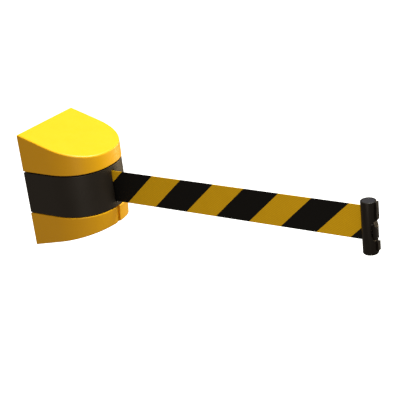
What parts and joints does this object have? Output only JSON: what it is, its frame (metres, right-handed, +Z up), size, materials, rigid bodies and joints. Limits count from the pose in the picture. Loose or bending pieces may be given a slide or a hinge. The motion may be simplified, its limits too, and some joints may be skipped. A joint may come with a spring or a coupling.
{
  "type": "retractable belt barrier",
  "caption": "Wall-mounted retractable belt barrier: a curved casing that pays out a striped webbing belt with a clip on its end.",
  "frame": {"origin": "on the wall face of the wall plate, at the middle of the belt's width, in the plane of symmetry", "axes": "+Z up; +Y into the wall; the belt pulls out along -Y; X across the casing"},
  "size_m": [0.13, 0.5489, 0.1819],
  "materials": {
    "yellow_abs": "moulded ABS, satin",
    "black_abs": "moulded ABS, fine spark texture",
    "clip_abs": "moulded ABS, satin",
    "plug_abs": "moulded ABS, matt",
    "polyester_webbing": "woven polyester with printed black diagonal bars",
    "zinc_steel": "bright zinc plated",
    "spring_steel": "tempered, blued",
    "sintered_bronze": "oiled, porous",
    "zinc_casting": "as cast",
    "brake_lining": "pressed friction lining",
    "white_nylon": "moulded nylon"
  },
  "bodies": {
    "casing": {"wall_plate": "zinc_steel", "cassette_body": "black_abs", "cassette_lid": "black_abs", "top_cap": "yellow_abs", "lower_housing": "yellow_abs", "plate_screw_1": "zinc_steel", "plate_screw_2": "zinc_steel", "plate_screw_3": "zinc_steel", "plate_screw_4": "zinc_steel", "plate_screw_5": "zinc_steel", "plate_screw_6": "zinc_steel", "lid_screw_1": "zinc_steel", "lid_screw_2": "zinc_steel", "lid_screw_3": "zinc_steel", "lid_screw_4": "zinc_steel", "drum_screw_1": "zinc_steel", "drum_screw_2": "zinc_steel", "drum_screw_3": "zinc_steel", "brake_screw_1": "zinc_steel", "brake_screw_2": "zinc_steel", "lower_bush": "sintered_bronze", "upper_bush": "sintered_bronze", "spring_drum": "black_abs", "spring_cover": "zinc_steel", "mainspring": "spring_steel", "brake_drum": "zinc_steel", "guide_pin_left": "zinc_steel", "guide_pin_right": "zinc_steel", "belt_lead": "polyester_webbing"},
    "reel": {"spindle": "zinc_steel", "spool_hub": "black_abs", "spool_flange_lower": "black_abs", "spool_flange_upper": "black_abs", "belt_coil": "polyester_webbing", "spring_arbor": "sintered_bronze", "retaining_clip_upper": "zinc_steel", "retaining_clip_lower": "zinc_steel", "brake_carrier": "zinc_steel", "brake_pin_1": "zinc_steel", "brake_pin_2": "zinc_steel"},
    "brake_shoe_1": {"brake_shoe_1": "zinc_casting", "brake_pad_1": "brake_lining"},
    "brake_shoe_2": {"brake_shoe_2": "zinc_casting", "brake_pad_2": "brake_lining"},
    "roller_left": {"guide_roller_left": "white_nylon"},
    "roller_right": {"guide_roller_right": "white_nylon"},
    "clip": {"clip_body": "clip_abs", "clip_end_plug": "plug_abs", "belt_pin": "zinc_steel", "lever_pin": "zinc_steel", "lever_spring": "spring_steel", "belt_run": "polyester_webbing"},
    "lock_lever": {"lock_lever": "clip_abs"}
  },
  "joints": [
    {"name": "belt_draw", "type": "slide", "parent": "casing", "child": "clip", "axis": [0, -1, 0], "range_m": [-0.404, 3.6], "deforming": ["belt_run"]},
    {"name": "reel_spin", "type": "hinge", "parent": "casing", "child": "reel", "pos_m": [0, -0.056, 0], "axis": [0, 0, 1], "continuous": true},
    {"name": "roller_left_spin", "type": "hinge", "parent": "casing", "child": "roller_left", "pos_m": [-0.0049, -0.11, 0], "axis": [0, 0, 1], "continuous": true},
    {"name": "roller_right_spin", "type": "hinge", "parent": "casing", "child": "roller_right", "pos_m": [0.0049, -0.11, 0], "axis": [0, 0, 1], "continuous": true},
    {"name": "brake_shoe_1_swing", "type": "hinge", "parent": "reel", "child": "brake_shoe_1", "pos_m": [0.02, -0.056, -0.043], "axis": [0, 0, -1], "range_deg": [0, 4], "stiffness_Nm_per_rad": 0.02, "springref_deg": -2.86},
    {"name": "brake_shoe_2_swing", "type": "hinge", "parent": "reel", "child": "brake_shoe_2", "pos_m": [-0.02, -0.056, -0.043], "axis": [0, 0, -1], "range_deg": [0, 4], "stiffness_Nm_per_rad": 0.02, "springref_deg": -2.86},
    {"name": "lock_lever_press", "type": "hinge", "parent": "clip", "child": "lock_lever", "pos_m": [0, -0.5429, 0.002], "axis": [1, 0, 0], "range_deg": [0, 6], "stiffness_Nm_per_rad": 0.05, "springref_deg": -8.59, "deforming": ["lever_spring"]}
  ],
  "couplings": [
    {"joint": "reel_spin", "follows": "belt_draw", "rad_per_m": -39.2},
    {"joint": "roller_left_spin", "follows": "belt_draw", "rad_per_m": -250},
    {"joint": "roller_right_spin", "follows": "belt_draw", "rad_per_m": 250}
  ]
}
